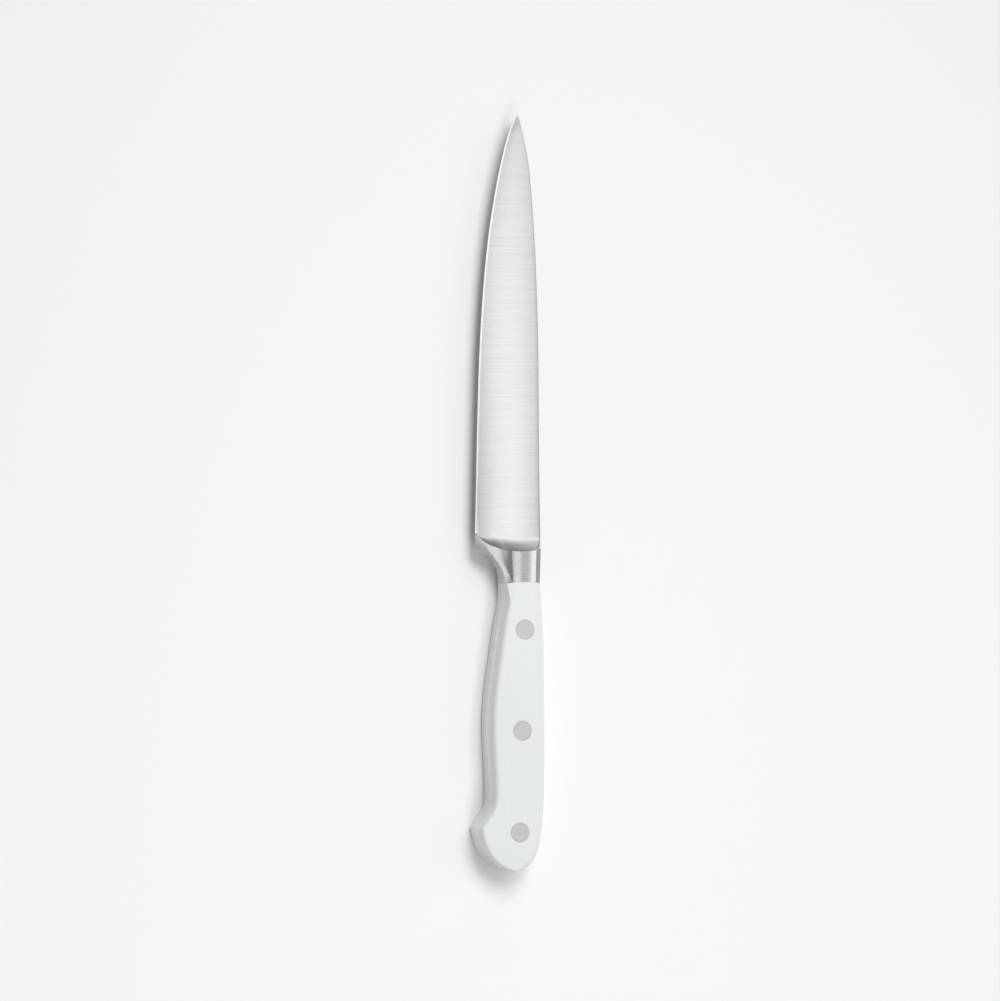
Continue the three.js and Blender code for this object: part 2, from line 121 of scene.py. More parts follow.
# Handle. The butt's roundings are a width and a depth, and the blends run between two stations.
# The dome passes into the rounding of the spine between two places across.
HANDLE_BELLY = [
    (-5.75, 179.3), (-7.3, 187), (-9.65, 201.7), (-11.6, 216.5), (-12.1, 227),
    (-11.6, 238), (-11.1, 247), (-11.1, 252.5), (-11.5, 255.5), (-12.5, 257.7), (-14.4, 260.4),
]
HOOK_TIP = (-16.8, 263.7)
BUTT = [
    (-15.7, 268.2), (-14.1, 272.1), (-11.2, 275.8), (-7.2, 278.6), (-3, OVERALL_LENGTH),
    (1.1, 278.5), (4.3, 275.6), (6.2, 271.3), (7.2, 264.5),
]
HANDLE_SPINE = [(7.95, 254), (8.2, 238), (8.2, 222), (8, 205), (7.95, 190)]
BELLY_ROUND = 1.5
SPINE_ROUND = 1.2
SEAM_ROUND = 0.3
BUTT_ROUND = (0.8, 1.4)
BUTT_SPINE_ROUND = (2.6, 2.2)
DOME_WIDTH = 10
DOME_DEPTH = 0.4
FRONT_BLEND = (175, 187)
BUTT_BLEND = (255, 270)
HOOK_BLEND = (247, 259)
DOME_TO_SPINE = (-4, 6)
RAMP_SLOPE = 0.35
RAMP_EASE_AT_SPINE = 0.6
RAMP_EASE_POWER = 4
RAMP_CREASE = 0.25
RAMP_END = 190

# Rivets, each at an across and a station. The onset and the bend are shares of a head's broken edge.
RIVETS = {"front": (0.17, 190.5), "middle": (-0.81, 227.8), "rear": (-1.77, 265.3)}
HEAD_RADIUS = 3.55
HEAD_DEPTH = 2.6
HEAD_SEAT = HANDLE_HALF - HEAD_DEPTH
HEAD_EDGE = 0.08
HEAD_EDGE_ONSET = 1.5
HEAD_EDGE_BEND = 0.3
SLEEVE_RADIUS = 2.5
SLEEVE_END = 3.9
BORE_RADIUS = 1.6
BORE_END = 4.6
PIN_RADIUS = 1.55
PIN_END = 3.6
PIN_CHAMFER = 0.4
RIVET_CLEARANCE = 0.05

# Fineness of the meshes
BLADE_ROWS = 110
TIP_CROWDING = 1.35
FILLET_ROWS = 24
PLUNGE_ROW = BLADE_ROWS + FILLET_ROWS - 1
BOLSTER_ROWS = 80
BELLY_COLUMNS = 8
WALL_COLUMNS = 4
FLANK_COLUMNS = 16
FACE_COLUMNS = 24
SPINE_COLUMNS = 14
CHAMFER_COLUMNS = 4
CURVE_SAMPLES = 4000
OUTLINE_STEP = 0.35
EDGE_STEPS = 9
NEAREST_SHARE = 0.98
GRID_STEP = 0.6
RAMP_GRID_STEP = 0.28
GRID_CLEARANCE = 0.15
ROUND_SIDES = 96
WELD = 1e-6
SLIVER = WELD / 10
SMOOTH_ANGLE = math.radians(32)

# Sides of the middle plane, as signs of a height
UPPER, LOWER = 1, -1

# Indices of the forging's finishes; throat and spine are darker steel as painted shade, heel and edge
# lighter steel as painted light
GROUND_FINISH, SATIN_FINISH, LIT_EDGE_FINISH, SHADED_SPINE_FINISH = range(4)
TANG_FINISH, SHADED_THROAT_FINISH, LIT_HEEL_FINISH = range(4, 7)

# Finishes. A grain is a size in metres along X, Y and Z, and steel has a broad and a fine one.
ACROSS_GRAINS = ((0.03, 0.0004, 0.03), (0.015, 0.00016, 0.015))
AROUND_GRAINS = ((0.014, 0.0004, 0.014), (0.007, 0.0002, 0.007))
LENGTHWISE_GRAINS = ((0.0004, 0.005, 0.0004), (0.0002, 0.003, 0.0002))
STONE_GRAINS = ((0.003, 0.0004, 0.003), (0.002, 0.0002, 0.002))
LINE_DEPTH = 0.00001
COOL = (1, 1.007, 1.013)
COOLER = (0.97, 1, 1.01)
RIVET_GRAIN = (0.00025, 0.004, 0.004)
RIVET_COLOURS = ((0.735, 0.745, 0.74), (0.795, 0.805, 0.8))
RIVET_ROUGHNESS = (0.3, 0.36)
RIVET_ANISOTROPY = 0.3
RIVET_RELIEF = 0.3
CLOUD_GRAIN = (0.02, 0.05, 0.02)
POLISH_GRAIN = (0.0003, 0.006, 0.0003)
POLISH_DEPTH = 0.000004
POLISH_RELIEF = 0.2
PLASTIC_COLOURS = ((0.74, 0.763, 0.771), (0.765, 0.788, 0.797))
PLASTIC_ROUGHNESS = (0.26, 0.32)
PLASTIC_IOR = 1.48
NOISE_DETAIL = 2.0
NOISE_MIDDLE = (0.25, 0.75)

# Studio, in metres, with the camera's sensor in millimetres
CAMERA_LEAN = math.radians(21)
CAMERA_DISTANCE = 2.0
FRAME_WIDTH = 0.3705
FRAME_CENTRE = Vector((-0.00202, -0.00288, 0.00475))
SENSOR = 36.0
FLOOR_REACH = 6.0
# The floor's colour is graded as painted light, lighter towards the butt and the cutting edge
FLOOR_PAINTED_LIGHT_AXIS = (0.41, 0.91, 0)
FLOOR_PAINTED_LIGHT_SPAN = (-0.25, 0.25)
FLOOR_PAINTED_LIGHT_SHADES = (0.95, 0.765)
WORLD_STRENGTH = 0.265


def lerp(start, end, part):
    return start + (end - start) * part


def smoothstep(value, low, high):
    part = np.clip((value - low) / (high - low), 0, 1)
    return part * part * (3 - 2 * part)


def smooth_minimum(first, second, width):
    """The lower of two heights, with the crease where they cross rounded over a width."""
    blend = np.clip(0.5 + 0.5 * (first - second) / width, 0, 1)
    return lerp(first, second, blend) - width * blend * (1 - blend)


def curve_through(pairs, shares):
    """Points of a smooth centripetal curve through the pairs, at shares of its spans from 0 to 1."""
    points = np.array(pairs, float)
    padded = np.vstack([2 * points[0] - points[1], points, 2 * points[-1] - points[-2]])
    place = np.clip(shares, 0, 1) * (len(points) - 1)
    span = np.minimum(place.astype(int), len(points) - 2)
    part = (place - span)[:, None]
    p0, p1, p2, p3 = (padded[span + offset] for offset in range(4))
    gap0, gap1, gap2 = (
        np.sqrt(np.linalg.norm(b - a, axis=1))[:, None] for a, b in ((p0, p1), (p1, p2), (p2, p3))
    )
    tangent1 = gap1 * ((p1 - p0) / gap0 - (p2 - p0) / (gap0 + gap1) + (p2 - p1) / gap1)
    tangent2 = gap1 * ((p2 - p1) / gap1 - (p3 - p1) / (gap1 + gap2) + (p3 - p2) / gap2)
    square = 3 * (p2 - p1) - 2 * tangent1 - tangent2
    cube = 2 * (p1 - p2) + tangent1 + tangent2
    return p1 + part * (tangent1 + part * (square + part * cube))


def evenly(points, step):
    """The same line, with points about one step apart."""
    lengths = np.linalg.norm(np.diff(points, axis=0), axis=1)
    travelled = np.concatenate([[0], np.cumsum(lengths)])
    places = np.linspace(0, travelled[-1], max(2, round(travelled[-1] / step) + 1))
    return np.column_stack([np.interp(places, travelled, points[:, axis]) for axis in (0, 1)])


def across_of(pairs):
    """Function that gives the across position of a line at a station."""
    line = curve_through(pairs, np.linspace(0, 1, CURVE_SAMPLES))
    return lambda station: np.interp(station, line[:, 1], line[:, 0])


def arc_drop(radius, distance):
    """How far an arc falls away at a distance from its top."""
    return radius - np.sqrt(radius * radius - distance * distance)


def plunge_station(across):
    """Station of the arched line on which the fillet meets the bolster."""
    return PLUNGE_STATION - arc_drop(PLUNGE_RADIUS, across)


def seam_station(across):
    """Station of the arched seam between bolster and handle."""
    return SEAM_STATION + arc_drop(SEAM_RADIUS, across - SEAM_MIDDLE)


def crown_height(across, spine):
    """Height of the bolster's crown: a shallow arc on the belly side, a quarter ellipse to the spine."""
    reach = across - CROWN_ACROSS
    share = np.clip(reach / (spine - CROWN_ACROSS), 0, 1)
    shoulder = SHOULDER_HALF + (CROWN_HALF - SHOULDER_HALF) * np.sqrt(1 - share * share)
    return np.where(reach < 0, CROWN_HALF - arc_drop(CROWN_RADIUS, np.minimum(reach, 0)), shoulder)


def flank_height(across, part, share):
    """Height of the scooped flank, from the belly edge at part 0 to the crown at part 1."""
    plain = crown_height(across, BOLSTER_SPINE)
    top = crown_height(lerp(FLANK_AT_PLUNGE, FLANK_AT_SEAM, share), BOLSTER_SPINE)
    scooped = lerp(BELLY_HALF, top, lerp(part, part**SCOOP_POWER, SCOOP_SHARE))
    return lerp(scooped, plain, share**SCOOP_LENGTH_POWER)


edge_at = across_of(EDGE_LINE)
spine_at = across_of(SPINE_LINE)
BELLY_CORNER = (BELLY_AT_SEAM, float(seam_station(BELLY_AT_SEAM)))
RIDGE_LINE = [*BEAK_RIDGE, (BELLY_AT_SEAM - BELLY_SWELL, BELLY_CORNER[1])]
BEAK_LINE = [*BEAK_EDGE, BELLY_CORNER]


def blade_section(share):
    """Upper half of one blade section from edge to spine, at a share of the way from tip to fillet."""

    def end_of_face(across):
        return np.maximum(EDGE_END, plunge_station(across) - FILLET_LENGTH)

    edge_station = EDGE_END * share
    spine_station = end_of_face(SPINE_RISE) * share
    edge = edge_at(edge_station)
    spine = spine_at(min(spine_station, EDGE_END))
    tapered = lerp(TIP_THICKNESS, HEEL_THICKNESS, share**TAPER_POWER)
    thickness = min(tapered, TIP_WEDGE * (spine - edge))
    gain_part = max(0, (share - BEVEL_GAIN_START) / (1 - BEVEL_GAIN_START))
    gain = BEVEL_GAIN_AT_HEEL * gain_part**BEVEL_GAIN_POWER
    bevel = min(BEVEL_WIDTH * (1 + gain), BEVEL_SHARE_AT_TIP * (spine - edge))
    bevel_half = BEVEL_HALF * bevel / BEVEL_WIDTH
    corner = min(SPINE_CORNER, SPINE_CORNER_SHARE * thickness)
    face_end = spine - corner
    part = np.arange(BELLY_COLUMNS) / BELLY_COLUMNS
    bevel_strip = np.column_stack([
        edge + bevel * part,
        np.full_like(part, edge_station),
        bevel_half * part,
    ])
    columns = FLANK_COLUMNS + FACE_COLUMNS
    part = np.arange(columns) / columns
    rise = part + FACE_CONVEXITY * part * (1 - part)
    face_station = end_of_face(lerp(-HEEL_DEPTH, SPINE_RISE, part)) * share
    across = lerp(edge + bevel, face_end, part)
    ease = min(SPINE_EASE_WIDTH, SPINE_EASE_SHARE * (spine - edge))
    full_drop = SPINE_EASE_SLOPE * share * ease / SPINE_EASE_POWER
    drop = full_drop * np.clip(1 - (face_end - across) / ease, 0, 1) ** SPINE_EASE_POWER
    face = np.column_stack([
        across,
        lerp(edge_station, face_station, part**HEEL_SWEEP_POWER),
        lerp(bevel_half, thickness / 2, rise) - drop,
    ])
    angle = np.linspace(0, math.pi / 2, SPINE_COLUMNS)
    rounding = np.column_stack([
        face_end + corner * np.sin(angle),
        np.full_like(angle, spine_station),
        thickness / 2 - full_drop - corner * (1 - np.cos(angle)),
    ])
    return np.vstack([bevel_strip, face, rounding, [(spine, spine_station, 0)]])


def bolster_section(share):
    """Upper half of one bolster section, at a share of the way from the plunge line to the seam."""

    def station_at(across):
        return lerp(plunge_station(across), seam_station(across), share)

    ridge = np.maximum(curve_through(RIDGE_LINE, np.array([share]))[0], (-HEEL_DEPTH, 0))
    beak = curve_through(BEAK_LINE, np.array([share]))[0]
    spine = lerp(spine_at(EDGE_END), BOLSTER_SPINE, share)
    beak_shift = beak[1] - station_at(beak[0])
    flank = lerp(FLANK_AT_PLUNGE, FLANK_AT_SEAM, share)
    shoulder = lerp(CROWN_ACROSS, spine, math.sin(SHOULDER_START))
    belly_half = flank_height(beak[0], 0, share)
    wall = belly_half * lerp(*THROAT_WALL, smoothstep(share, *THROAT_RISE))
    part = np.arange(WALL_COLUMNS) / WALL_COLUMNS
    upright = np.column_stack([*(np.full_like(part, place) for place in ridge), wall * part])
    part = np.arange(BELLY_COLUMNS - WALL_COLUMNS) / (BELLY_COLUMNS - WALL_COLUMNS)
    facet = np.column_stack([
        lerp(ridge[0], beak[0], part),
        lerp(ridge[1], beak[1], part),
        lerp(wall, belly_half, part),
    ])
    part = np.arange(FLANK_COLUMNS) / FLANK_COLUMNS
    across = lerp(beak[0], flank, part)
    scoop = np.column_stack([
        across,
        station_at(across) + beak_shift * (1 - part),
        flank_height(across, part, share),
    ])
    across = lerp(flank, shoulder, np.arange(FACE_COLUMNS) / FACE_COLUMNS)
    crown = np.column_stack([across, station_at(across), crown_height(across, spine)])
    angle = np.linspace(SHOULDER_START, SHOULDER_END, SPINE_COLUMNS - CHAMFER_COLUMNS)
    across = lerp(CROWN_ACROSS, spine, np.sin(angle))
    round_side = np.column_stack([across, station_at(across), crown_height(across, spine)])
    part = np.arange(1, CHAMFER_COLUMNS + 1) / CHAMFER_COLUMNS
    across = lerp(across[-1], spine, part)
    chamfer = np.column_stack([
        across,
        station_at(across),
        lerp(round_side[-1, 2], SHOULDER_HALF, part),
    ])
    spine_line = [(spine, station_at(spine), 0)]
    return np.vstack([upright, facet, scoop, crown, round_side, chamfer, spine_line])


def fillet_section(face, plunge, share):
    """Section of the concave fillet that sweeps from the blade face up to the plunge line."""
    angle = share * math.pi / 2
    along, up = math.sin(angle), 1 - math.cos(angle)
    return np.column_stack([
        lerp(face[:, 0], plunge[:, 0], up),
        lerp(face[:, 1], plunge[:, 1], along),
        lerp(face[:, 2], plunge[:, 2], up),
    ])


def handle_outline():
    """The handle's outline behind the seam, from the belly corner round the butt to the spine corner."""
    belly = BELLY_AT_SEAM + HANDLE_SETBACK
    spine = BOLSTER_SPINE - HANDLE_SETBACK
    belly_pairs = [(belly, seam_station(belly) + SEAM_GAP), *HANDLE_BELLY, HOOK_TIP]
    back_pairs = [HOOK_TIP, *BUTT, *HANDLE_SPINE, (spine, seam_station(spine) + SEAM_GAP)]
    shares = np.linspace(0, 1, CURVE_SAMPLES)
    belly_line, back_line = (
        evenly(curve_through(pairs, shares), OUTLINE_STEP) for pairs in (belly_pairs, back_pairs)
    )
    outline = np.vstack([belly_line, back_line[1:]])
    outline[:, 0] = np.maximum(outline[:, 0], -HEEL_DEPTH)
    return outline


def inward_normals(outline):
    """Unit normals of an open outline that runs with its inside on the side of the spine."""
    along = np.gradient(outline, axis=0)
    normals = np.column_stack([along[:, 1], -along[:, 0]])
    return normals / np.linalg.norm(normals, axis=1)[:, None]


def circle(centre, radius):
    angle = np.arange(ROUND_SIDES) * 2 * math.pi / ROUND_SIDES
    return np.column_stack([centre[0] + radius * np.cos(angle), centre[1] + radius * np.sin(angle)])


def rivet_circles(radius):
    """A circle about each rivet, wider than the given radius by the clearance."""
    return [circle(place, radius + RIVET_CLEARANCE) for place in RIVETS.values()]


def at_height(line, height):
    """Points of a flat line at one height, or at a height for each of them."""
    return np.column_stack([line, np.broadcast_to(height, len(line))])


def triangulated(loops, loose):
    """Triangles of the area inside the first loop and outside the others, through the loose points."""
    points, edges = [], []
    for loop in loops:
        start, count = len(points), len(loop)
        points.extend(map(tuple, loop))
        edges.extend((start + index, start + (index + 1) % count) for index in range(count))
    points.extend(map(tuple, loose))
    inside_only = 1
    found = geometry.delaunay_2d_cdt([Vector(p) for p in points], edges, [], inside_only, WELD)
    flat = np.array([tuple(v) for v in found[0]])
    faces = np.array([tuple(face) for face in found[2]])
    middles = flat[faces].mean(axis=1)
    kept = np.ones(len(faces), bool)
    for hole in loops[1:]:
        centre = hole.mean(axis=0)
        reach = np.linalg.norm(hole[0] + hole[1] - 2 * centre) / 2
        kept &= np.linalg.norm(middles - centre, axis=1) > reach
    return flat, [tuple(face) for face in faces[kept]]


class Surface:
    """Points in millimetres and faces that are gathered into one mesh."""

    def __init__(self):
        self.points = []
        self.marks = []
        self.faces = []
        self.finishes = []
        self.creases = []

    def add(self, points, marks=None):
        """Adds points, with a brushing place for each, and returns their indices."""
        start = len(self.points)
        self.points.extend(map(tuple, points))
        self.marks.extend(map(tuple, marks if marks is not None else np.asarray(points)[:, [1, 0]]))
        return list(range(start, len(self.points)))

    def cover(self, faces, finish=0):
        """Adds faces that carry the material with the given index."""
        self.faces += faces
        self.finishes += [finish] * len(faces)

    def sheet(self, flat, triangles, height, finish=0):
        """Adds a triangulated area at one height, or at a height for each of its points."""
        indices = self.add(at_height(flat, height))
        self.cover([tuple(indices[corner] for corner in face) for face in triangles], finish)

    def band(self, lower, upper, finish=0, closed=False):
        """Adds faces between two rows of the same length."""
        if closed:
            lower, upper = [*lower, lower[0]], [*upper, upper[0]]
        self.cover(list(zip(lower, lower[1:], upper[1:], upper)), finish)

    def walls(self, line, levels, finish=0, closed=False):
        """Adds upright walls along a line, with rows of points at the given heights."""
        rows = [self.add(at_height(line, level)) for level in levels]
        for lower, upper in zip(rows, rows[1:]):
            self.band(lower, upper, finish, closed)

    def crease(self, line):
        """Keeps the edges along a row of points sharp."""
        self.creases += zip(line, line[1:])

    def welded_mesh(self, name):
        """The gathered faces as one mesh, smooth apart from its creases and steep edges."""
        mesh = bpy.data.meshes.new(name)
        points = (np.array(self.points) * (1, -1, 1) + ORIGIN) * MM
        mesh.from_pydata(points.tolist(), [], self.faces)
        mesh.polygons.foreach_set("material_index", self.finishes)
        layer = mesh.uv_layers.new(name="brush")
        corners = np.array([loop.vertex_index for loop in mesh.loops])
        layer.uv.foreach_set("vector", (np.array(self.marks)[corners] * MM).ravel())
        crease_keys = {tuple(sorted(pair)) for pair in self.creases}
        creased = [tuple(sorted(edge.vertices)) in crease_keys for edge in mesh.edges]
        work = bmesh.new()
        work.from_mesh(mesh)
        work.edges.ensure_lookup_table()
        # The creases pass through the weld as seams
        for edge, sharp in zip(list(work.edges), creased):
            edge.seam = sharp
        bmesh.ops.remove_doubles(work, verts=work.verts, dist=WELD)
        bmesh.ops.dissolve_degenerate(work, edges=work.edges, dist=SLIVER)
        bmesh.ops.recalc_face_normals(work, faces=work.faces)
        work.to_mesh(mesh)
        work.free()
        mesh.shade_smooth()
        mesh.set_sharp_from_angle(angle=SMOOTH_ANGLE)
        for edge in mesh.edges:
            if edge.use_seam:
                edge.use_edge_sharp = True
        return mesh

    def piece(self, name, materials, slot, *nodes):
        """Makes an object of the gathered faces that stands for the given nodes."""
        mesh = self.welded_mesh(name)
        for material in materials:
            mesh.materials.append(material)
        piece = bpy.data.objects.new(name, mesh)
        bpy.context.scene.collection.objects.link(piece)
        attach(piece, "root")
        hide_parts(*nodes)


def forging_sections():
    """Upper halves of the sections of blade, fillet and bolster, from the tip to the seam."""
    shares = (np.arange(1, BLADE_ROWS + 1) / BLADE_ROWS) ** TIP_CROWDING
    blade = [blade_section(share) for share in shares]
    bolster = [bolster_section(row / BOLSTER_ROWS) for row in range(BOLSTER_ROWS + 1)]
    fillet_shares = np.arange(1, FILLET_ROWS) / FILLET_ROWS
    fillet = [fillet_section(blade[-1], bolster[0], share) for share in fillet_shares]
    return [*blade, *fillet, *bolster]


def finishes_from(row):
    """Finishes of edge or wall, facet, face and spine, between a row of the forging and the next."""
    # Painted light and shade: the heel's wall and facet and the bevel get lighter steel, the throat wall
    # and spine chamfer darker steel
    if row < BLADE_ROWS - 1:
        return LIT_EDGE_FINISH, LIT_EDGE_FINISH, GROUND_FINISH, GROUND_FINISH
    if row < PLUNGE_ROW:
        return LIT_HEEL_FINISH, LIT_HEEL_FINISH, GROUND_FINISH, GROUND_FINISH
    return SHADED_THROAT_FINISH, LIT_HEEL_FINISH, SATIN_FINISH, SHADED_SPINE_FINISH


def add_half(surface, sections, side):
    """Adds one side of the blade and bolster with its creases, and returns its last row of points."""
    rows = []
    for section in sections:
        steps = np.linalg.norm(np.diff(section[:, [0, 2]], axis=0), axis=1)
        marks = np.column_stack([-section[:, 1], np.concatenate([[0], np.cumsum(steps)])])
        rows.append(surface.add(section * (1, 1, side), marks))
    spine = len(rows[0]) - 1
    chamfer = spine - 1 - CHAMFER_COLUMNS
    stops = (0, WALL_COLUMNS, BELLY_COLUMNS, chamfer, spine)
    for row, (lower, upper) in enumerate(zip(rows, rows[1:])):
        for finish, first, last in zip(finishes_from(row), stops, stops[1:]):
            surface.band(lower[first:last + 1], upper[first:last + 1], finish)
    [tip] = surface.add([(0, 0, 0)], [(0, 0)])
    tip_fan = [(tip, after, before) for before, after in zip(rows[0], rows[0][1:])]
    surface.cover(tip_fan, GROUND_FINISH)
    bolster_rows = rows[PLUNGE_ROW:]
    for column in (0, BELLY_COLUMNS):
        surface.crease([row[column] for row in rows])
    for column in (WALL_COLUMNS, BELLY_COLUMNS + FLANK_COLUMNS, chamfer):
        surface.crease([row[column] for row in bolster_rows])
    for row in (bolster_rows[0], bolster_rows[-1]):
        surface.crease(row[BELLY_COLUMNS:])
    return rows[-1]


def forging_surface():
    """Blade, bolster and tang as one closed skin."""
    surface = Surface()
    sections = forging_sections()
    root = tang_root()
    seam_rows = [add_half(surface, sections, side) for side in (UPPER, LOWER)]
    for side, seam_row in zip((UPPER, LOWER), seam_rows):
        surface.band(seam_row, surface.add(root * (1, 1, side)), SATIN_FINISH)
    add_tang(surface)
    return surface


def tang_root():
    """Upper half of the tang's section where it leaves the bolster, point for point below the seam."""
    outline = handle_outline()
    across = np.clip(bolster_section(1)[:, 0], outline[0, 0], outline[-1, 0])
    height = np.full(len(across), TANG_HALF)
    height[[0, -1]] = 0
    across[:BELLY_COLUMNS + 1] = outline[0, 0]
    across[-2:] = outline[-1, 0]
    return np.column_stack([across, seam_station(across) + SEAM_GAP, height])


def handle_rim():
    """The handle's outline, closed along the points of the tang's root."""
    return np.vstack([handle_outline(), tang_root()[BELLY_COLUMNS + 1:-2][::-1, :2]])


def add_tang(surface):
    """Adds the flat tang, with a hole for each rivet."""
    holes = rivet_circles(SLEEVE_RADIUS)
    flat, triangles = triangulated([handle_rim(), *holes], [])
    for side in (UPPER, LOWER):
        surface.sheet(flat, triangles, side * TANG_HALF, TANG_FINISH)
    surface.walls(handle_outline(), (-TANG_HALF, 0, TANG_HALF), TANG_FINISH)
    for hole in holes:
        surface.walls(hole, (-TANG_HALF, TANG_HALF), TANG_FINISH, closed=True)


class ScaleTop:
    """Height of the upper scale above the middle plane: rounded edges and the ramp from the bolster."""

    def __init__(self, outline):
        self.outline = outline
        self.normals = inward_normals(outline)
        station = outline[:, 1]
        front = smoothstep(station, *FRONT_BLEND)
        on_belly = np.arange(len(outline)) <= np.argmax(station)
        butt = np.where(on_belly, smoothstep(station, *HOOK_BLEND), smoothstep(station, *BUTT_BLEND))
        side = np.where(on_belly, lerp(SEAM_ROUND, BELLY_ROUND, front), SPINE_ROUND)
        round_off = smoothstep(outline[:, 0], *DOME_TO_SPINE)
        self.width, self.depth = (
            lerp(side, lerp(below, behind, round_off), butt)
            for below, behind in zip(BUTT_ROUND, BUTT_SPINE_ROUND)
        )
        self.dome = DOME_DEPTH * butt * (1 - round_off)
        self.tree = kdtree.KDTree(len(outline))
        for index, (across, along) in enumerate(outline):
            self.tree.insert((across, along, 0), index)
        self.tree.balance()

    def nearest(self, points):
        """Distance of each point from the outline, and the index of the nearest outline point."""
        found = [self.tree.find((across, along, 0)) for across, along in points]
        return np.array([hit[2] for hit in found]), np.array([hit[1] for hit in found])

    def height(self, points):
        """Height at each point, no lower than the face of the tang."""
        distance, index = self.nearest(points)
        left = 1 - np.clip(distance / self.width[index], 0, 1)
        inside = 1 - np.clip(distance / DOME_WIDTH, 0, 1)
        rounding = self.depth[index] * (1 - np.sqrt(1 - left * left))
        slab = HANDLE_HALF - rounding - self.dome[index] * inside * inside
        across = np.minimum(points[:, 0], BOLSTER_SPINE)
        reach = np.maximum(0, (across - CROWN_ACROSS) / (BOLSTER_SPINE - CROWN_ACROSS))
        slope = RAMP_SLOPE * (1 - RAMP_EASE_AT_SPINE * reach**RAMP_EASE_POWER)
        ramp = crown_height(across, BOLSTER_SPINE) + slope * (points[:, 1] - seam_station(across))
        return np.maximum(TANG_HALF, smooth_minimum(ramp, slab, RAMP_CREASE))

    def rounding_points(self):
        """Points on lines parallel to the outline, where no other stretch of it is nearer."""
        kept = []
        for step in range(1, EDGE_STEPS + 1):
            inset = self.width * (1 - math.cos(step / EDGE_STEPS * math.pi / 2))
            points = self.outline + self.normals * inset[:, None]
            distance, _ = self.nearest(points)
            behind_seam = points[:, 1] > seam_station(points[:, 0]) + 2 * SEAM_GAP
            kept.append(points[(distance > NEAREST_SHARE * inset) & behind_seam])
        return np.vstack(kept)

    def grid_points(self, step, first, last):
        """Points of a square grid between two stations, clear of the rounding and the rivets."""
        columns, rows = np.arange(-HEEL_DEPTH, SPINE_RISE, step), np.arange(first, last, step)
        across, along = np.meshgrid(columns, rows)
        points = np.column_stack([across.ravel(), along.ravel()])
        points = points[points[:, 1] > seam_station(points[:, 0]) + GRID_CLEARANCE]
        distance, index = self.nearest(points)
        inside = np.einsum("ij,ij->i", points - self.outline[index], self.normals[index]) > 0
        clear = inside & (distance > self.width[index] + GRID_CLEARANCE)
        for place in RIVETS.values():
            gap = np.linalg.norm(points - place, axis=1) - HEAD_RADIUS - RIVET_CLEARANCE
            clear &= gap > GRID_CLEARANCE
        return points[clear]


def scale_surface(side):
    """One handle scale: rounded top with counterbored holes, walls and the flat that meets the tang."""
    surface = Surface()
    top = ScaleTop(handle_outline())
    rim = handle_rim()
    heads, shanks = rivet_circles(HEAD_RADIUS), rivet_circles(SLEEVE_RADIUS)
    loose = np.vstack([
        top.rounding_points(),
        top.grid_points(RAMP_GRID_STEP, SEAM_STATION, RAMP_END),
        top.grid_points(GRID_STEP, RAMP_END, OVERALL_LENGTH),
    ])
    flat, triangles = triangulated([rim, *heads], loose)
    surface.sheet(flat, triangles, side * top.height(flat))
    flat, triangles = triangulated([rim, *shanks], [])
    surface.sheet(flat, triangles, side * TANG_HALF)
    surface.walls(rim, (side * TANG_HALF, side * top.height(rim)), closed=True)
    for head, shank in zip(heads, shanks):
        surface.walls(head, (side * HEAD_SEAT, side * top.height(head)), closed=True)
        surface.walls(shank, (side * TANG_HALF, side * HEAD_SEAT), closed=True)
        outer, inner = (surface.add(at_height(loop, side * HEAD_SEAT)) for loop in (head, shank))
        surface.band(outer, inner, closed=True)
    return surface


def turned_surface(profile, place):
    """Solid of revolution about the line of a rivet, from a profile of radius and height."""
    surface = Surface()
    rows = []
    for radius, height in profile:
        ring = circle(place, radius)
        rows.append(surface.add(at_height(ring, height), ring * (1, -1)))
    for lower, upper in zip(rows, rows[1:]):
        surface.band(lower, upper, closed=True)
    return surface


def head_profile():
    """Profile of a rivet head from its middle to its seat, with a broken edge."""
    top = HANDLE_HALF
    onset, bend = HEAD_EDGE_ONSET * HEAD_EDGE, HEAD_EDGE_BEND * HEAD_EDGE
    return [
        (0, top), (HEAD_RADIUS - onset, top), (HEAD_RADIUS - HEAD_EDGE, top),
        (HEAD_RADIUS - bend, top - bend), (HEAD_RADIUS, top - HEAD_EDGE), (HEAD_RADIUS, HEAD_SEAT),
    ]


def sleeve_profile():
    """Profile of the tubular half, with its head in the upper scale."""
    shank = [(SLEEVE_RADIUS, HEAD_SEAT), (SLEEVE_RADIUS, -SLEEVE_END), (BORE_RADIUS, -SLEEVE_END)]
    return [*head_profile(), *shank, (BORE_RADIUS, BORE_END), (0, BORE_END)]


def pin_profile():
    """Profile of the solid half, with its head in the lower scale."""
    shank = [
        (PIN_RADIUS, HEAD_SEAT), (PIN_RADIUS, PIN_CHAMFER - PIN_END),
        (PIN_RADIUS - PIN_CHAMFER, -PIN_END), (0, -PIN_END),
    ]
    return [(radius, -height) for radius, height in [*head_profile(), *shank]]


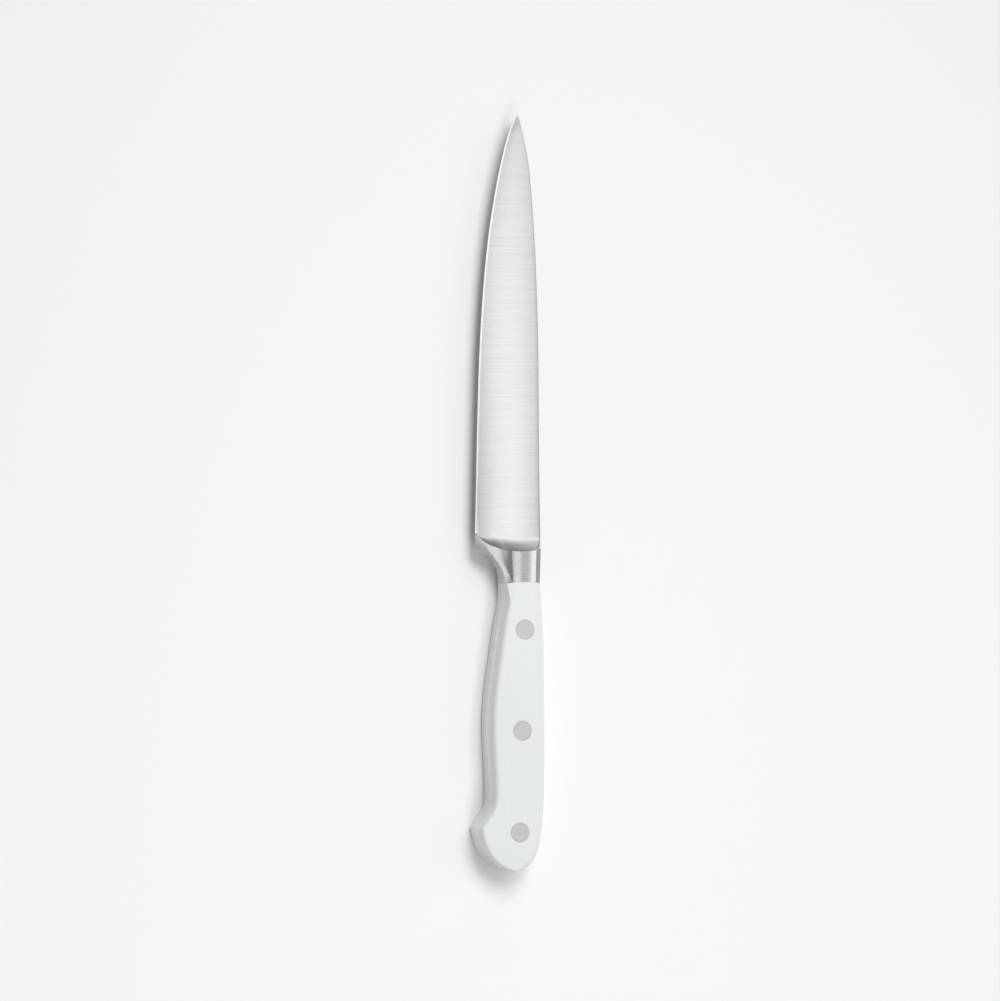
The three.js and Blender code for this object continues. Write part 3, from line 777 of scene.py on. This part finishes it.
class Recipe:
    """A node material that is put together around one Principled shader."""

    def __init__(self, name):
        self.material = bpy.data.materials.new(name)
        self.material.use_nodes = True
        self.nodes = self.material.node_tree.nodes
        self.links = self.material.node_tree.links
        self.shader = self.nodes["Principled BSDF"]

    def plug(self, socket, value):
        """Links a socket to an output, or sets it to a value."""
        if hasattr(value, "is_output"):
            self.links.new(value, socket)
        else:
            socket.default_value = value

    def node(self, kind, inputs=(), **settings):
        """A new node with the given inputs and settings."""
        node = self.nodes.new(kind)
        for name, value in settings.items():
            setattr(node, name, value)
        for name, value in dict(inputs).items():
            self.plug(node.inputs[name], value)
        return node

    def streaks(self, grain):
        """Noise whose grains have the given size in metres along X, Y and Z."""
        place = self.node("ShaderNodeTexCoord").outputs["Object"]
        scale = tuple(1 / length for length in grain)
        mapped = self.node("ShaderNodeMapping", {"Vector": place, "Scale": scale}).outputs[0]
        settings = {"Vector": mapped, "Scale": 1.0, "Detail": NOISE_DETAIL}
        return self.node("ShaderNodeTexNoise", settings).outputs["Fac"]

    def spread(self, value, source, target):
        """A value that runs between two ends, moved to run between two others."""
        ends = zip(("From Min", "From Max", "To Min", "To Max"), (*source, *target))
        return self.node("ShaderNodeMapRange", {"Value": value, **dict(ends)}).outputs[0]

    def ranged(self, noise, low, high):
        """The middle half of a noise, spread from low to high."""
        return self.spread(noise, NOISE_MIDDLE, (low, high))

    def mixed(self, share, low, high):
        """A colour between two others, by a share from 0 to 1."""
        ramp = self.node("ShaderNodeValToRGB", {"Fac": share})
        for element, colour in zip(ramp.color_ramp.elements, (low, high)):
            element.color = (*colour, 1)
        return ramp.outputs["Color"]

    def tinted(self, noise, low, high):
        """A colour between two others, by the middle half of a noise."""
        return self.mixed(self.ranged(noise, 0.0, 1.0), low, high)

    def bumped(self, height, distance, strength):
        """Normals of a surface that rises by the distance where the height is 1, mixed in by a strength."""
        settings = {"Height": height, "Distance": distance, "Strength": strength}
        return self.node("ShaderNodeBump", settings).outputs["Normal"]

    def along_brush(self):
        """Direction of the brushing, from the places that each surface gives its points."""
        return self.node("ShaderNodeTangent", direction_type="UV_MAP", uv_map="brush").outputs[0]

    def feed(self, **sockets):
        """Sets or links the shader's inputs, named with underscores for spaces."""
        for name, value in sockets.items():
            self.plug(self.shader.inputs[name.replace("_", " ")], value)
        return self.material


def brushed_steel(name, grains, shades, roughness, anisotropy, relief, cool=COOL):
    """Steel with grinding lines of two widths, that spread its shine at right angles to them."""
    recipe = Recipe(name)
    broad, fine = (recipe.streaks(grain) for grain in grains)
    both = recipe.node("ShaderNodeMath", {0: broad, 1: fine}, operation="ADD").outputs[0]
    lines = recipe.node("ShaderNodeMath", {0: both, 1: 0.5}, operation="MULTIPLY").outputs[0]
    colours = (tuple(shade * part for part in cool) for shade in shades)
    return recipe.feed(
        Base_Color=recipe.tinted(lines, *colours),
        Metallic=1.0,
        Roughness=recipe.ranged(broad, *roughness),
        Anisotropic=anisotropy,
        Tangent=recipe.along_brush(),
        Normal=recipe.bumped(lines, LINE_DEPTH, relief),
    )


def steels():
    """The finishes of the forging, in the order of their indices."""
    return [
        brushed_steel("ground_steel", ACROSS_GRAINS, shades=(0.63, 0.79), roughness=(0.245, 0.275),
                      anisotropy=0.6, relief=0.016),
        brushed_steel("satin_steel", AROUND_GRAINS, shades=(0.66, 0.7), roughness=(0.26, 0.29),
                      anisotropy=0.2, relief=0.006),
        # Honed bevel: a finer grain and lower roughness, and a lighter colour than the ground face as
        # painted highlight
        brushed_steel("edge_steel_painted_highlight", STONE_GRAINS, shades=(0.86, 0.92), roughness=(0.17, 0.21),
                      anisotropy=0.5, relief=0.02),
        # Painted shade: the bolster's spine chamfer gets a much darker steel, in place of the dark
        # reflection along that side
        brushed_steel("spine_steel_painted_shade", LENGTHWISE_GRAINS, shades=(0.31, 0.35), roughness=(0.32, 0.38),
                      anisotropy=0.2, relief=0.03),
        brushed_steel("tang_steel", LENGTHWISE_GRAINS, shades=(0.69, 0.74), roughness=(0.3, 0.36),
                      anisotropy=0.2, relief=0.02, cool=COOLER),
        # Painted shade: the upright throat wall gets a darker steel than the rest of the bolster
        brushed_steel("throat_steel_painted_shade", LENGTHWISE_GRAINS, shades=(0.55, 0.6), roughness=(0.45, 0.52),
                      anisotropy=0.2, relief=0.02),
        # Painted light: the heel's belly wall and facet get a lighter steel than the rest of the bolster
        brushed_steel("heel_steel_painted_light", LENGTHWISE_GRAINS, shades=(0.84, 0.9), roughness=(0.4, 0.46),
                      anisotropy=0.2, relief=0.02),
    ]


def rivet_steel():
    """Satin rivet heads, ground lengthwise with the handle."""
    recipe = Recipe("rivet_steel")
    lines = recipe.streaks(RIVET_GRAIN)
    return recipe.feed(
        Base_Color=recipe.tinted(lines, *RIVET_COLOURS),
        Metallic=1.0,
        Roughness=recipe.ranged(lines, *RIVET_ROUGHNESS),
        Anisotropic=RIVET_ANISOTROPY,
        Tangent=recipe.along_brush(),
        Normal=recipe.bumped(lines, LINE_DEPTH, RIVET_RELIEF),
    )


def white_plastic():
    """Dense white plastic, polished lengthwise to a satin."""
    recipe = Recipe("white_plastic")
    cloud, polish = recipe.streaks(CLOUD_GRAIN), recipe.streaks(POLISH_GRAIN)
    return recipe.feed(
        Base_Color=recipe.tinted(cloud, *PLASTIC_COLOURS),
        Roughness=recipe.ranged(polish, *PLASTIC_ROUGHNESS),
        IOR=PLASTIC_IOR,
        Normal=recipe.bumped(polish, POLISH_DEPTH, POLISH_RELIEF),
    )


def add_camera():
    """Camera that leans towards the cutting edge, with the tip at the top of the picture."""
    back = Vector((-math.sin(CAMERA_LEAN), 0, math.cos(CAMERA_LEAN)))
    right = Vector((math.cos(CAMERA_LEAN), 0, math.sin(CAMERA_LEAN)))
    data = bpy.data.cameras.new("camera")
    data.sensor_width = SENSOR
    data.lens = SENSOR * CAMERA_DISTANCE / FRAME_WIDTH
    camera = bpy.data.objects.new("camera", data)
    turn = Matrix((right, (0, 1, 0), back)).transposed().to_4x4()
    camera.matrix_world = Matrix.Translation(FRAME_CENTRE + back * CAMERA_DISTANCE) @ turn
    bpy.context.scene.collection.objects.link(camera)
    bpy.context.scene.camera = camera


def add_floor():
    """Pale floor with painted light: its colour grows lighter towards the butt and the cutting edge,
    evening out the lamps' fall-off.
    """
    recipe = Recipe("pale_floor")
    place = recipe.node("ShaderNodeTexCoord").outputs["Object"]
    along = recipe.node("ShaderNodeVectorMath", {0: place, 1: FLOOR_PAINTED_LIGHT_AXIS}, operation="DOT_PRODUCT")
    share = recipe.spread(along.outputs["Value"], FLOOR_PAINTED_LIGHT_SPAN, (0.0, 1.0))
    colour = recipe.mixed(share, *((shade,) * 3 for shade in FLOOR_PAINTED_LIGHT_SHADES))
    recipe.feed(Base_Color=colour, Roughness=1.0, Specular_IOR_Level=0.0)
    mesh = bpy.data.meshes.new("floor")
    corners = [(-1, -1, 0), (1, -1, 0), (1, 1, 0), (-1, 1, 0)]
    mesh.from_pydata([FLOOR_REACH * Vector(corner) for corner in corners], [], [(0, 1, 2, 3)])
    mesh.materials.append(recipe.material)
    floor = bpy.data.objects.new("floor", mesh)
    bpy.context.scene.collection.objects.link(floor)


def add_world(strength):
    """Even white light from all around."""
    world = bpy.data.worlds.new("studio")
    world.use_nodes = True
    world.node_tree.nodes["Background"].inputs["Color"].default_value = (1, 1, 1, 1)
    world.node_tree.nodes["Background"].inputs["Strength"].default_value = strength
    bpy.context.scene.world = world


def add_softbox(name, place, size, radiance, target=(0, 0, 0), heading=(0, 1, 0), mirrored=True):
    """Rectangular lamp that faces a target, with its length along the heading.

    A lamp that isn't mirrored lights matt surfaces and doesn't show in polished steel.
    """
    data = bpy.data.lights.new(name, "AREA")
    data.shape = "RECTANGLE"
    data.size, data.size_y = size
    data.energy = radiance * math.pi * size[0] * size[1]
    lamp = bpy.data.objects.new(name, data)
    back = (Vector(place) - Vector(target)).normalized()
    right = Vector(heading).cross(back).normalized()
    turn = Matrix((right, back.cross(right), back)).transposed().to_4x4()
    lamp.matrix_world = Matrix.Translation(place) @ turn
    lamp.visible_camera = False
    lamp.visible_glossy = mirrored
    bpy.context.scene.collection.objects.link(lamp)


def add_lamps():
    """Soft lamps above and around the knife."""
    add_softbox("overhead", place=(0.191, -0.21, 0.72), size=(0.107, 0.9), radiance=1.52,
                target=(0, -0.21, 0), heading=(0.1, 1, 0))
    add_softbox("edge_strip", place=(0.007, 0.15, 0.8), size=(0.104, 0.4), radiance=1.16,
                target=(0.007, 0.15, 0), heading=(0.17, 1, 0))
    add_softbox("front_panel", place=(0.24, 0.62, 0.72), size=(0.2, 0.7), radiance=0.7)
    add_softbox("front_low", place=(0.12, 0.85, 0.36), size=(0.4, 0.4), radiance=0.5)
    add_softbox("left_panel", place=(-0.65, -0.3, 0.28), size=(0.3, 0.3), radiance=0.24)
    add_softbox("key", place=(-0.05, 0.6, 1.05), size=(0.32, 0.6), radiance=9.9, mirrored=False)
    add_softbox("main", place=(0.26, 0.42, 1.1), size=(0.36, 0.5), radiance=4.4, mirrored=False)
    add_softbox("fill", place=(-0.03, -0.75, 0.9), size=(0.4, 0.6), radiance=3.4, mirrored=False)
    add_softbox("right_panel", place=(0.42, 0, 0.66), size=(0.2, 0.6), radiance=0.34)
    add_softbox("right_side", place=(0.74, 0, 0.475), size=(0.45, 0.5), radiance=1.17)


plastic = [white_plastic()]
rivet = [rivet_steel()]
forging_surface().piece("knife_forging", steels(), "blade_steel", "forged_blade")
scale_surface(UPPER).piece("scale_left", plastic, "white_scale", "left_scale")
scale_surface(LOWER).piece("scale_right", plastic, "white_scale", "right_scale")
for where, place in RIVETS.items():
    turned_surface(sleeve_profile(), place).piece(
        f"sleeve_{where}", rivet, "rivet_steel", f"{where}_rivet_sleeve")
    turned_surface(pin_profile(), place).piece(
        f"pin_{where}", rivet, "rivet_steel", f"{where}_rivet_pin")

add_camera()
add_floor()
add_world(WORLD_STRENGTH)
add_lamps()
bpy.context.scene.view_settings.view_transform = "Standard"
